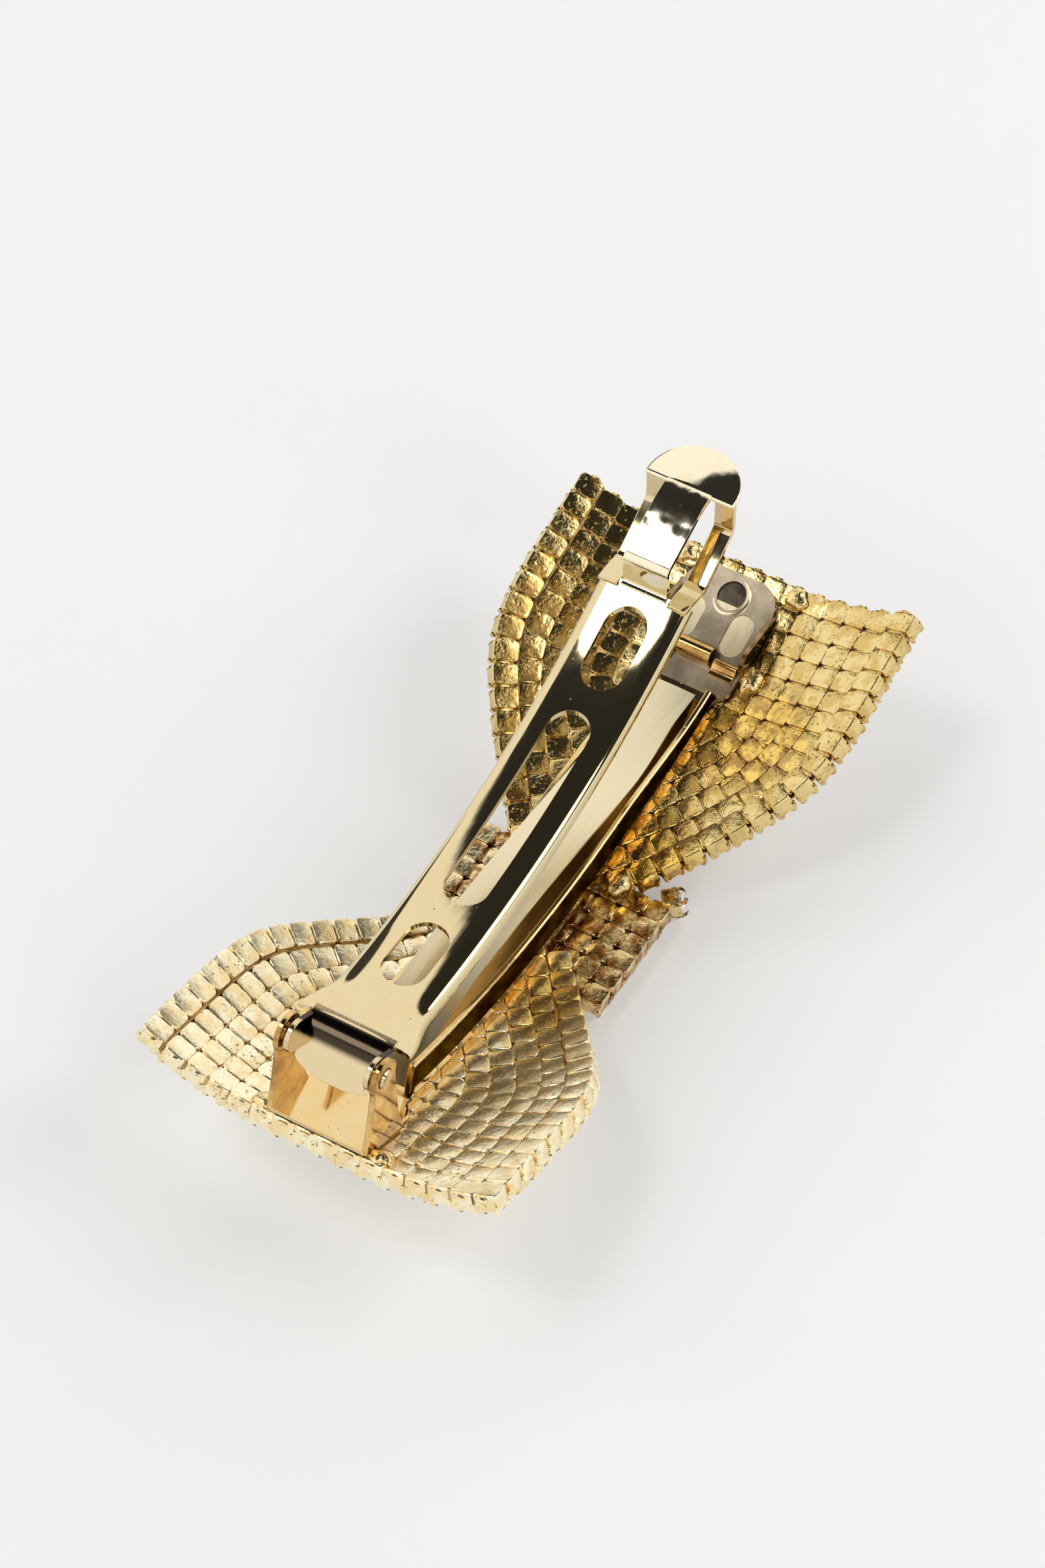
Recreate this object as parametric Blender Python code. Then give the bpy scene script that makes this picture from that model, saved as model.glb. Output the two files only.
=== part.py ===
"""Bow-shaped rhinestone hair clip: rows of cup chain on a sprung metal barrette.

Sizes are in millimetres and are scaled to metres when each mesh is finished.  The bow lies
face down on z = 0.  +X runs from the hinge end to the catch end, +Z points out of the back.
"""
import math

import bmesh
import bpy
from mathutils import Matrix, Vector

MM = 0.001

# Cup chain
CUP_PITCH = 2.55            # cup centre to cup centre along a strand
CUP_HEIGHT = 2.2            # back of a cup to its stone's girdle side
PRONG_TIP = 0.4             # prongs standing past the stone
STRAND_GAP = 0.29           # daylight between neighbouring strands
WAIST_INSET = 0.28          # how far a strand draws in all round between two cups
WAIST_SHARE = 0.1           # part of a cup's length taken by that, at each end

# Bow
HALF_LENGTH = 42.0          # middle of the knot to a wing's end edge, along the back
HALF_WIDTH = 19.5           # middle line to a wing's side edge
BEND_RADIUS = 98.0          # the whole bow is bent to this radius along X
ROWS = 8                    # strands on each side of a wing's middle line
WING_START = 5.0            # the outer strands begin this far from the knot's middle
WING_WAIST = 2.6            # half width the sloping sides would have at the middle
WING_SLOPE = 0.77           # how fast the sides widen away from the knot
SHOULDER = 1.73             # softness of the turn from sloping side to straight side
SHOULDER_FADE = 22.0        # the turn gets sharper inward and would reach zero this deep
WING_CURL = 5.2             # rise of the side edges above the middle line
CURL_START = 7.0            # the curl begins this far from the middle line
CURL_EASE = 0.35            # part of the curl that is lost at the end edges
CURL_EASE_START = 28.0      # where along X that loss begins
RIM_LIFT = 0.45             # the outermost strand sits this much higher
MIDDLE_CLEAR = 0.10         # strand corner to the middle line
KNOT_STRANDS = 6
KNOT_HALF_SPAN = 11.3       # half length of a knot strand
KNOT_SEAT = 0.2             # wing front to knot back at the very middle

# Barrette
SHEET = 0.6                 # all stamped sheet
SEAT_GAP = 0.3              # bow back to plate
CHANNEL_HALF = 4.2          # outside half width of the channel
CHANNEL_HEIGHT = 5.2        # floor underside to flange top
CHANNEL_LOW = 2.8           # the same at the catch end of the channel
CHANNEL_START = 10.0        # channel begins this far in from the hinge end
CHANNEL_STOP = 14.0         # channel stops this far in from the catch end
PLATE_STOP = 1.5            # plate stops this far in from the catch end edge
EAR_HALF = 5.6              # outside half spacing of both pairs of ears
PIVOT_IN = 3.7              # pivot to hinge end edge
PIVOT_RISE = 9.3            # pivot above the plate
EAR_HEAD = 2.0              # radius of the ears round the pivot
EAR_FOOT = 6.8              # length of the ears along the plate
PIN_RADIUS = 1.0
PIN_CLEARANCE = 0.06        # pin to eye, on the radius
SIDE_CLEARANCE = 0.3        # lever cheek to ear
CATCH_RISE = 3.5            # catch ear top above the bow at the ear's inner end
CATCH_IN = 11.0             # catch ear's inner end to the catch end edge
CATCH_LENGTH = 7.0
WINDOW_WIDTH = 2.6
WINDOW_LENGTH = 4.6
WINDOW_OFFSET = 2.85
RIVET_HOLE = 1.5            # radius
LOBE_HALF = 1.9             # half width of the curled catch lobe

# Lever, drawn open
LEVER_HALF = 5.0
LEVER_FLARE = LEVER_HALF + 1.3      # half width at the bend by the hinge
LEVER_REACH = 21.9          # web end to catch end edge
LEVER_RISE = 9.0            # web end above the pivot
LEVER_RADIUS = 82.3
LEVER_LIP = 1.4             # depth of the turned-down sides
SLOT_WIDTH = 0.92 * LEVER_HALF
SLOTS = ((0.124, 0.279), (0.335, 0.765), (0.812, 0.966))    # along the web, hinge end first
HEAD_LENGTH = 8.9
HEAD_STEP = 3.7             # riser at the web's end
HEAD_RISE = 6.6             # tab above the web's end
TAB_RADIUS = LEVER_HALF - 0.05
BRIDGE_HALF = LEVER_HALF / 2

# Tension spring
SPRING_THICK = 0.4
SPRING_CROWN = 6.6          # crown above the plate's lowest point
SPRING_HALF = CHANNEL_HALF - SHEET - SIDE_CLEARANCE
SPRING_SLOT = 2.0

GOLD = (0.83, 0.66, 0.38)
STONE_GOLD = (0.86, 0.72, 0.47)
STEEL_GOLD = (0.74, 0.60, 0.38)
SOLDER_GREY = (0.72, 0.68, 0.58)

STRAND_PITCH = HALF_WIDTH / ROWS
STRAND_WIDTH = STRAND_PITCH - STRAND_GAP
KNOT_HEIGHT = CUP_HEIGHT + PRONG_TIP
BACK_Z = KNOT_HEIGHT + CUP_HEIGHT + KNOT_SEAT
HINGE_X = PIVOT_IN - HALF_LENGTH
UP = Vector((0, 0, 1))


def smooth(value):
    value = max(0.0, min(1.0, value))
    return value * value * (3 - 2 * value)


def back_z(x):
    """Height of the bow's back on its middle line."""
    return BACK_Z + BEND_RADIUS - math.sqrt(BEND_RADIUS ** 2 - x * x)


def wing_z(x, y, lift=0.0):
    """Height of a wing's back anywhere; lift raises the rim strand clear of the plate."""
    side = max(0.0, abs(y) - CURL_START) / (HALF_WIDTH - CURL_START)
    ease = max(0.0, (abs(x) - CURL_EASE_START) / (HALF_LENGTH - CURL_EASE_START))
    curl = WING_CURL * side ** 1.5 * (1 - CURL_EASE * ease ** 2)
    return back_z(x) + curl + lift * smooth((abs(y) - EAR_HALF - 1) / 3)


def wing_normal(x, y):
    step = 0.05
    along = wing_z(x + step, y) - wing_z(x - step, y)
    across = wing_z(x, y + step) - wing_z(x, y - step)
    return Vector((-along / (2 * step), -across / (2 * step), 1)).normalized()


def row_y(row, x):
    """Distance of a strand's middle from the bow's middle line."""
    inset = (row + 0.5) * STRAND_PITCH
    sloping = WING_WAIST + WING_SLOPE * x - inset * math.hypot(1, WING_SLOPE)
    straight = HALF_WIDTH - inset
    turn = SHOULDER * (1 - inset / SHOULDER_FADE)
    return straight - turn * math.log1p(math.exp(min(60, (straight - sloping) / turn)))


def row_start(row):
    """First x at which a strand's inner corner clears the bow's middle line."""
    x = WING_START
    while x < HALF_LENGTH:
        slope = (row_y(row, x + 0.05) - row_y(row, x)) / 0.05
        if row_y(row, x) - STRAND_WIDTH / 2 / math.hypot(1, slope) > MIDDLE_CLEAR:
            return x
        x += 0.05
    return x


def mesh_from_loops(name, loops):
    """Closed skin through rings of equal length, with both ends capped."""
    bm = bmesh.new()
    rings = [[bm.verts.new(point) for point in loop] for loop in loops]
    for near, far in zip(rings, rings[1:]):
        for i in range(len(near)):
            j = (i + 1) % len(near)
            bm.faces.new((near[i], near[j], far[j], far[i]))
    bm.faces.new(rings[0][::-1])
    bm.faces.new(rings[-1])
    bmesh.ops.recalc_face_normals(bm, faces=bm.faces[:])
    mesh = bpy.data.meshes.new(name)
    bm.to_mesh(mesh)
    bm.free()
    return mesh


def side_prism(name, outline, low, high):
    """Outline in X and Z pushed through from y = low to y = high."""
    return mesh_from_loops(name, [[(x, y, z) for x, z in outline] for y in (low, high)])


def flat_prism(name, outline, low, high):
    """Outline in X and Y raised from z = low to z = high."""
    return mesh_from_loops(name, [[(x, y, z) for x, y in outline] for z in (low, high)])


def ribbon(path, thickness):
    """Outline of a bent strip: the path offset half a thickness to each side."""
    points = [Vector(p) for p in path]
    left, right = [], []
    for i, point in enumerate(points):
        before = (point - points[i - 1]).normalized() if i else None
        after = (points[i + 1] - point).normalized() if i < len(points) - 1 else None
        bisector = ((before or after) + (after or before)).normalized()
        normal = Vector((-bisector.y, bisector.x))
        mitre = thickness / 2 / max(0.5, bisector.dot(after or before))
        left.append(tuple(point + normal * mitre))
        right.append(tuple(point - normal * mitre))
    return left + right[::-1]


def arc(centre, radius, start, stop, steps):
    angles = [math.radians(start + (stop - start) * i / steps) for i in range(steps + 1)]
    return [(centre[0] + radius * math.cos(a), centre[1] + radius * math.sin(a)) for a in angles]


def obround(start, stop, middle, width, steps=8):
    radius = width / 2
    return (arc((stop - radius, middle), radius, -90, 90, steps)
            + arc((start + radius, middle), radius, 90, 270, steps))


def span(start, stop, steps):
    return [start + (stop - start) * i / steps for i in range(steps + 1)]


def carve(mesh, tools, operation):
    """Exact boolean of a mesh with a list of closed tool meshes."""
    work = bpy.data.objects.new("work", mesh)
    bpy.context.scene.collection.objects.link(work)
    for tool_mesh in tools:
        tool = bpy.data.objects.new("tool", tool_mesh)
        tool.hide_render = True
        tool.display_type = 'WIRE'
        bpy.context.scene.collection.objects.link(tool)
        step = work.modifiers.new("step", 'BOOLEAN')
        step.operation = operation
        step.solver = 'EXACT'
        step.object = tool
        graph = bpy.context.evaluated_depsgraph_get()
        result = bpy.data.meshes.new_from_object(work.evaluated_get(graph))
        work.modifiers.clear()
        work.data = result
        bpy.data.objects.remove(tool)
    bpy.data.objects.remove(work)
    return result


def tidy(mesh):
    """Weld boolean leftovers and turn the faces outward."""
    bm = bmesh.new()
    bm.from_mesh(mesh)
    bmesh.ops.remove_doubles(bm, verts=bm.verts[:], dist=0.0001)
    bmesh.ops.dissolve_degenerate(bm, dist=0.0001, edges=bm.edges[:])
    bmesh.ops.triangulate(bm, faces=bm.faces[:])
    bmesh.ops.recalc_face_normals(bm, faces=bm.faces[:])
    bm.to_mesh(mesh)
    bm.free()
    return mesh


def place(name, mesh, colour, roughness, origin=(0, 0, 0)):
    """Finish one sub-part: origin, scale to metres, shading and its own material."""
    mesh.transform(Matrix.Translation(-Vector(origin)))
    mesh.transform(Matrix.Scale(MM, 4))
    mesh.name = name
    mesh.shade_smooth()
    mesh.set_sharp_from_angle(angle=math.radians(35))
    material = bpy.data.materials.new(name)
    material.use_nodes = True
    shader = material.node_tree.nodes["Principled BSDF"]
    shader.inputs["Base Color"].default_value = (*colour, 1)
    shader.inputs["Roughness"].default_value = roughness
    shader.inputs["Metallic"].default_value = 1.0
    mesh.materials.clear()
    mesh.materials.append(material)
    part = bpy.data.objects.new(name, mesh)
    part.location = Vector(origin) * MM
    bpy.context.scene.collection.objects.link(part)
    return part


def cup_stations(cups):
    """Places along a strand, counted in cups, and how far the section draws in at each."""
    stations = [(0.0, 0.0)]
    for i in range(1, cups):
        stations += [(i - WAIST_SHARE, 0.0), (float(i), WAIST_INSET), (i + WAIST_SHARE, 0.0)]
    return stations + [(float(cups), 0.0)]


def wing_strand(name, end, side, row):
    """One cup-chain strand of a wing, from beside the knot to the end edge."""
    start = row_start(row)
    lift = RIM_LIFT if row == 0 else 0.0
    cups = max(2, round((HALF_LENGTH - start) * 1.12 / CUP_PITCH))
    loops = []
    for place_along, inset in cup_stations(cups):
        x = start + (HALF_LENGTH - start) * place_along / cups
        ahead = Vector((x + 0.05, row_y(row, x + 0.05), 0))
        here = Vector((x, row_y(row, x), 0))
        ahead.z = wing_z(ahead.x, ahead.y, lift)
        here.z = wing_z(here.x, here.y, lift)
        along = (ahead - here).normalized()
        across = wing_normal(here.x, here.y).cross(along).normalized()
        up = along.cross(across)
        across *= STRAND_WIDTH / 2 - inset
        back, front = here - up * inset, here - up * (CUP_HEIGHT - inset)
        ring = (back + across, back - across, front - across, front + across)
        loops.append([(end * p.x, side * p.y, p.z) for p in ring])
    place(name, mesh_from_loops(name, loops), STONE_GOLD, 0.25)


def knot_strand(name, index):
    """One of the short strands that wrap the bow's middle."""
    middle = (index - (KNOT_STRANDS - 1) / 2) * STRAND_PITCH
    bulge = 0.3 * (1 - abs(index - (KNOT_STRANDS - 1) / 2) / KNOT_STRANDS)
    reach = KNOT_HALF_SPAN - 0.3 + bulge
    cups = round(2 * reach / CUP_PITCH)
    loops = []
    for place_along, inset in cup_stations(cups):
        y = reach * (2 * place_along / cups - 1)
        half, top = STRAND_WIDTH / 2 - inset, KNOT_HEIGHT - inset
        loops.append([(middle - half, y, inset), (middle + half, y, inset),
                      (middle + half, y, top), (middle - half, y, top)])
    place(name, mesh_from_loops(name, loops), STONE_GOLD, 0.25)


def corner_cup():
    """Single cup by the knot's corner, its stone facing out along the table."""
    half = CUP_HEIGHT / 2 - 0.05
    ring = [(half, half), (-half, half), (-half, -half), (half, -half)]
    mesh = mesh_from_loops("corner_cup", [[(x, y, z) for x, y in ring] for z in (-half, half)])
    side = KNOT_STRANDS / 2 * STRAND_PITCH + CUP_HEIGHT / 2 + STRAND_GAP
    middle = Vector((side, -KNOT_HALF_SPAN + half, half + 0.02))
    mesh.transform(Matrix.Translation(middle))
    place("corner_cup", mesh, STONE_GOLD, 0.25)


def solder_bead(name, x, y):
    """Small dome of solder beside the plate, square to the bow's back."""
    radius, height, lift = 0.9, 0.5, 0.12
    rings = []
    for level in range(4):
        angle = math.radians(level * 25)
        rings.append([(x_ * math.cos(angle), y_ * math.cos(angle), height * math.sin(angle))
                      for x_, y_ in arc((0, 0), radius, 0, 330, 11)])
    mesh = mesh_from_loops(name, rings)
    normal = wing_normal(x, y)
    mesh.transform(UP.rotation_difference(normal).to_matrix().to_4x4())
    mesh.transform(Matrix.Translation(Vector((x, y, wing_z(x, y))) + normal * lift))
    place(name, mesh, SOLDER_GREY, 0.35)


def floor_z(x):
    """Underside of the barrette's plate."""
    return back_z(x) + SEAT_GAP


def plate_half_width(x):
    """Plate half width, measured to the middle of the walls that stand on it."""
    wide = EAR_HALF - SHEET / 2
    narrow = CHANNEL_HALF - SHEET / 2
    start, stop = CHANNEL_START - HALF_LENGTH, HALF_LENGTH - CHANNEL_STOP
    near = smooth((x - (start - 1.8)) / 1.8)
    far = smooth((x - stop) / 1.8)
    corner = 3.0
    past = max(0.0, x - (HALF_LENGTH - PLATE_STOP - corner))
    round_off = corner - math.sqrt(max(0.0, corner ** 2 - past ** 2))
    return wide - (wide - narrow) * near * (1 - far) - round_off


def plate_floor():
    tail = HALF_LENGTH - PLATE_STOP
    stops = (span(-HALF_LENGTH, CHANNEL_START - HALF_LENGTH - 1.8, 4)
             + span(CHANNEL_START - HALF_LENGTH - 1.2, CHANNEL_START - HALF_LENGTH, 2)
             + span(CHANNEL_START - HALF_LENGTH + 4, HALF_LENGTH - CHANNEL_STOP, 13)
             + span(HALF_LENGTH - CHANNEL_STOP + 0.6, HALF_LENGTH - CHANNEL_STOP + 1.8, 2)
             + span(HALF_LENGTH - CHANNEL_STOP + 4, tail - 3, 4)
             + span(tail - 2.2, tail - 0.1, 4))
    loops = []
    for x in stops:
        half, low = plate_half_width(x), floor_z(x)
        loops.append([(x, -half, low), (x, half, low), (x, half, low + SHEET), (x, -half, low + SHEET)])
    return mesh_from_loops("floor", loops)


def wall(side, outer, start, stop, steps, top):
    """Upright wall on the plate's edge; its foot sits at half the plate's thickness."""
    places = span(start, stop, steps)
    outline = ([(x, floor_z(x) + SHEET / 2) for x in places]
               + [(x, top(x)) for x in reversed(places)])
    low, high = sorted((side * outer, side * (outer - SHEET)))
    return side_prism("wall", outline, low, high)


def channel_top(x):
    low_from = 8.0
    fall = smooth((x - low_from) / (HALF_LENGTH - CHANNEL_STOP - low_from))
    ends = min(x - (CHANNEL_START - HALF_LENGTH), HALF_LENGTH - CHANNEL_STOP - x)
    height = CHANNEL_HEIGHT - (CHANNEL_HEIGHT - CHANNEL_LOW) * fall
    return floor_z(x) + SHEET + (height - SHEET) * min(1.0, 0.25 + ends * 0.75)


def hinge_ear(side):
    """Ear with a round head; its foot runs along the plate's edge."""
    pivot = (HINGE_X, floor_z(HINGE_X) + SHEET + PIVOT_RISE)
    foot = span(-HALF_LENGTH, EAR_FOOT - HALF_LENGTH, 4)
    outline = [(x, floor_z(x) + SHEET / 2) for x in foot]
    outline.append((foot[-1], floor_z(foot[-1]) + SHEET + 1.2))
    outline += arc(pivot, EAR_HEAD, -15, 195, 12)
    outline.append((foot[0], floor_z(foot[0]) + SHEET + 1.2))
    low, high = sorted((side * EAR_HALF, side * (EAR_HALF - SHEET)))
    return side_prism("ear", outline, low, high)


def catch_lobe():
    """Curled tongue on the plate between the windows."""
    x = HALF_LENGTH - CATCH_IN
    base = floor_z(x) + SHEET / 2
    curl = arc((x + 0.45, base + 1.0), 0.75, 205, 10, 7)
    return side_prism("lobe", ribbon([(x + 0.1, base)] + curl, SHEET * 0.8), -LOBE_HALF, LOBE_HALF)


def eye_pin(radius, low, high):
    """Round bar along Y on the pivot line."""
    height = floor_z(HINGE_X) + SHEET + PIVOT_RISE
    return side_prism("pin", arc((HINGE_X, height), radius, 0, 345, 23), low, high)


def base_plate():
    inner = HALF_LENGTH - CATCH_IN
    catch_top = back_z(inner) + CATCH_RISE
    walls = []
    for side in (-1, 1):
        walls.append(wall(side, CHANNEL_HALF, CHANNEL_START - HALF_LENGTH,
                          HALF_LENGTH - CHANNEL_STOP, 24, channel_top))
        walls.append(wall(side, EAR_HALF, inner, inner + CATCH_LENGTH, 6,
                          lambda x: max(catch_top, floor_z(x) + SHEET + 0.05)
                          - 0.4 * smooth((x - inner) / CATCH_LENGTH - 0.6)))
        walls.append(hinge_ear(side))
    walls.append(catch_lobe())
    body = carve(plate_floor(), walls, 'UNION')
    low, high = BACK_Z - 2, BACK_Z + 30
    window_start = inner + 1.3
    cuts = [flat_prism("window", obround(window_start, window_start + WINDOW_LENGTH,
                                         side * WINDOW_OFFSET, WINDOW_WIDTH), low, high)
            for side in (-1, 1)]
    hole = arc((HALF_LENGTH - PLATE_STOP - 2.4, 0), RIVET_HOLE, 0, 345, 23)
    cuts.append(flat_prism("hole", hole, low, high))
    cuts.append(eye_pin(PIN_RADIUS + PIN_CLEARANCE, -EAR_HALF - 1, EAR_HALF + 1))
    place("base_plate", tidy(carve(body, cuts, 'DIFFERENCE')), GOLD, 0.18)


def web_path(steps=26):
    """Middle line of the lever's curved web in X and Z, hinge end first."""
    pivot_z = floor_z(HINGE_X) + SHEET + PIVOT_RISE
    start = Vector((HINGE_X + 3.5, pivot_z + 0.4))
    stop = Vector((HALF_LENGTH - LEVER_REACH, pivot_z + LEVER_RISE))
    chord = stop - start
    away = Vector((-chord.y, chord.x)).normalized()
    depth = math.sqrt(LEVER_RADIUS ** 2 - (chord.length / 2) ** 2)
    centre = (start + stop) / 2 + away * depth
    first = math.degrees(math.atan2(start.y - centre.y, start.x - centre.x))
    last = math.degrees(math.atan2(stop.y - centre.y, stop.x - centre.x))
    return arc(centre, LEVER_RADIUS, first, last, steps)


def web_section(x, z, start):
    """Rounded channel section of the web: top, shoulders and turned-down sides."""
    near = 1 - smooth((x - start) / 6)
    half = LEVER_HALF + (LEVER_FLARE - LEVER_HALF) * near
    lip = LEVER_LIP - (LEVER_LIP - SHEET - 0.15) * near
    bevel = 0.5
    right = [(half - bevel, 0), (half - 0.14, -0.14), (half, -bevel), (half, -lip),
             (half - SHEET, -lip), (half - SHEET - 0.05, -SHEET)]
    ring = right + [(-y, dz) for y, dz in reversed(right)]
    return [(x, y, z + dz) for y, dz in ring]


def lever_head(end_x, end_z):
    """Riser, bridge, two side rims and the round finger tab."""
    top = end_z + HEAD_RISE
    bridge = ribbon([(end_x, end_z - SHEET), (end_x, end_z + HEAD_STEP),
                     (end_x + 6.6, top - 0.2), (end_x + 8.1, top), (end_x + 9.6, top)], SHEET)
    rim = ribbon([(end_x - 0.8, end_z - SHEET / 2), (end_x + 0.8, end_z - SHEET / 2),
                  (end_x + 3.1, end_z - 0.8), (end_x + HEAD_LENGTH, end_z + 2.7),
                  (end_x + HEAD_LENGTH, top)], SHEET)
    pieces = [side_prism("bridge", bridge, -BRIDGE_HALF, BRIDGE_HALF)]
    for side in (-1, 1):
        low, high = sorted((side * (BRIDGE_HALF + 0.3), side * (LEVER_HALF - 0.1)))
        pieces.append(side_prism("rim", rim, low, high))
    centre = (end_x + HEAD_LENGTH, 0)
    tab = [(centre[0] - 0.6, -TAB_RADIUS)] + arc(centre, TAB_RADIUS, -90, 90, 18)
    tab.append((centre[0] - 0.6, TAB_RADIUS))
    pieces.append(flat_prism("tab", tab, top - SHEET / 2 + 0.02, top + SHEET / 2 + 0.05))
    return pieces


def lever_hinge_end(start_x, start_z, pivot_z):
    """Sloping tongue, the two cheeks that reach the pivot, and their pin ends."""
    inside = EAR_HALF - SHEET - SIDE_CLEARANCE
    tongue = []
    for share in (0.0, 0.35, 0.7, 0.85, 0.95, 1.0):
        half = (inside - 0.3) * math.sqrt(max(0.0, 1 - (max(0.0, share - 0.7) / 0.36) ** 2))
        x, z = start_x + 0.6 - 4.4 * share, start_z - 0.3 - 4.1 * share
        tongue.append([(x - 0.21, -half, z + 0.21), (x - 0.21, half, z + 0.21),
                       (x + 0.21, half, z - 0.21), (x + 0.21, -half, z - 0.21)])
    pieces = [mesh_from_loops("tongue", tongue)]
    cheek = ([(start_x + 0.3, start_z - 0.35), (start_x - 0.9, start_z + 0.1)]
             + arc((HINGE_X, pivot_z), EAR_HEAD - 0.3, 60, 250, 9)
             + [(HINGE_X + 0.6, pivot_z - 2.6), (HINGE_X + 1.6, pivot_z - 2.2)])
    for side in (-1, 1):
        low, high = sorted((side * inside, side * (inside - SHEET)))
        pieces.append(side_prism("cheek", cheek, low, high))
        low, high = sorted((side * (inside - SHEET / 2), side * (EAR_HALF + 0.35)))
        pieces.append(eye_pin(PIN_RADIUS, low, high))
    return pieces


def lever():
    path = web_path()
    start_x, start_z = path[0]
    end_x, end_z = path[-1]
    pivot_z = floor_z(HINGE_X) + SHEET + PIVOT_RISE
    web = mesh_from_loops("web", [web_section(x, z, start_x) for x, z in path])
    pieces = lever_hinge_end(start_x, start_z, pivot_z) + lever_head(end_x, end_z)
    body = carve(web, pieces, 'UNION')
    length = end_x - start_x
    cuts = [flat_prism("slot", obround(start_x + length * first, start_x + length * last, 0,
                                       SLOT_WIDTH), start_z - 10, end_z + 10)
            for first, last in SLOTS]
    mesh = tidy(carve(body, cuts, 'DIFFERENCE'))
    place("lever", mesh, GOLD, 0.15, origin=(HINGE_X, 0, pivot_z))


def tension_spring():
    """Bowed leaf in the channel; its slot opens toward the hinge."""
    tail = CHANNEL_START - HALF_LENGTH + 1.0
    nose = HALF_LENGTH - CHANNEL_STOP - 1.0
    crown = tail + (nose - tail) * 0.276
    crown_z = floor_z(0) + SPRING_CROWN + 2.2
    tail_z = floor_z(tail) + SHEET + SPRING_THICK + SIDE_CLEARANCE
    nose_z = floor_z(nose) + SHEET + SPRING_THICK + SIDE_CLEARANCE
    loops = []
    for x in span(tail, nose, 26):
        if x < crown:
            z = crown_z - (crown_z - tail_z) * ((crown - x) / (crown - tail)) ** 3
        else:
            swing = math.cos(math.pi * (x - crown) / (nose - crown))
            z = (crown_z + nose_z) / 2 + (crown_z - nose_z) / 2 * swing
        loops.append([(x, -SPRING_HALF, z - SPRING_THICK), (x, SPRING_HALF, z - SPRING_THICK),
                      (x, SPRING_HALF, z), (x, -SPRING_HALF, z)])
    slot = flat_prism("slot", obround(tail + 3.5, crown - 4.5, 0, SPRING_SLOT),
                      BACK_Z - 2, crown_z + 2)
    mesh = tidy(carve(mesh_from_loops("leaf", loops), [slot], 'DIFFERENCE'))
    place("tension_spring", mesh, STEEL_GOLD, 0.3)


def clear_scene():
    for item in list(bpy.data.objects):
        bpy.data.objects.remove(item, do_unlink=True)


clear_scene()
base_plate()
lever()
tension_spring()
for end, end_name in ((-1, "hinge"), (1, "catch")):
    for side, side_name in ((-1, "right"), (1, "left")):
        for row in range(ROWS):
            wing_strand(f"strand_{end_name}_{side_name}_{row + 1}", end, side, row)
        solder_bead(f"solder_{end_name}_{side_name}", end * (HALF_LENGTH - 1.2),
                    side * (EAR_HALF + 1.1))
for index in range(KNOT_STRANDS):
    knot_strand(f"knot_strand_{index + 1}", index)
corner_cup()
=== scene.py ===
"""Looks of the bow-shaped rhinestone hair clip: the cups, prongs and stones of its chain, and the
polished barrette that is soldered to the bow's back.  Sizes are in millimetres and become metres
in Skin.mesh.  The bow lies face down; +X runs from the hinge end to the catch end.
"""
import math
import random

import bmesh
import bpy
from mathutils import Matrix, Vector


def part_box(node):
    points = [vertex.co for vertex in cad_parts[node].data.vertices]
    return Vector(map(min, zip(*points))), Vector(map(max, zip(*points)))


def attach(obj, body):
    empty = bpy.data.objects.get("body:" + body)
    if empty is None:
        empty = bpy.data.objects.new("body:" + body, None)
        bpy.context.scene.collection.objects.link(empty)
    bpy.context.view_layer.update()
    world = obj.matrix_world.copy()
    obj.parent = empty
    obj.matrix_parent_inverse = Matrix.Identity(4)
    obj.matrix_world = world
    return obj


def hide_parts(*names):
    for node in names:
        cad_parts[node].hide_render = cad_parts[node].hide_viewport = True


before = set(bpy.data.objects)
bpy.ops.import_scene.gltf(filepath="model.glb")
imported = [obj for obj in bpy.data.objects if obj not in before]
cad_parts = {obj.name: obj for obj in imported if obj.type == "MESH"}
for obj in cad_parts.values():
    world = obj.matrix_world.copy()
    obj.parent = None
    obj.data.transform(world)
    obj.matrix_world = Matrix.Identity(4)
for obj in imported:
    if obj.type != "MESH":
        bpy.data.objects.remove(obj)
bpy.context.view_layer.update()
MM = 0.001
dice = random.Random(11)
UP = Vector((0, 0, 1))
CORNERS = ((1, 1), (-1, 1), (-1, -1), (1, -1))
ENDS = ((-1, "hinge"), (1, "catch"))
SIDES = ((-1, "right"), (1, "left"))

# Bow, as the frame has it
CUP_PITCH, CUP_HEIGHT, PRONG_TIP = 2.55, 2.2, 0.4
HALF_LENGTH, HALF_WIDTH, ROWS = 42.0, 19.5, 8
BEND_RADIUS, BACK_Z = 98.0, 5.0
FLAT_HALF = 7.0             # beyond this half width the wings curl up
CURL_RISE, CURL_POWER = 5.2, 1.5
EASE_X, EASE = 28.0, 0.35   # the curl eases off from here to the bow's ends
EDGE_SLOPE, EDGE_START = 0.77, 2.6      # the wing's outline, widening away from the knot
EDGE_TURN, TURN_DEPTH = 1.73, 22.0      # how gently a strand turns from that slope to straight
STRAND_PITCH = HALF_WIDTH / ROWS
STRAND_HALF, MIDDLE_CLEAR, FIRST_X = 1.075, 0.10, 5.0
EAR_HALF, SHEET = 5.6, 0.6
HINGE_X = 3.7 - HALF_LENGTH
KNOT_STRANDS, KNOT_HALF_SPAN, KNOT_BACK = 6, 11.3, CUP_HEIGHT + PRONG_TIP

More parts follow.
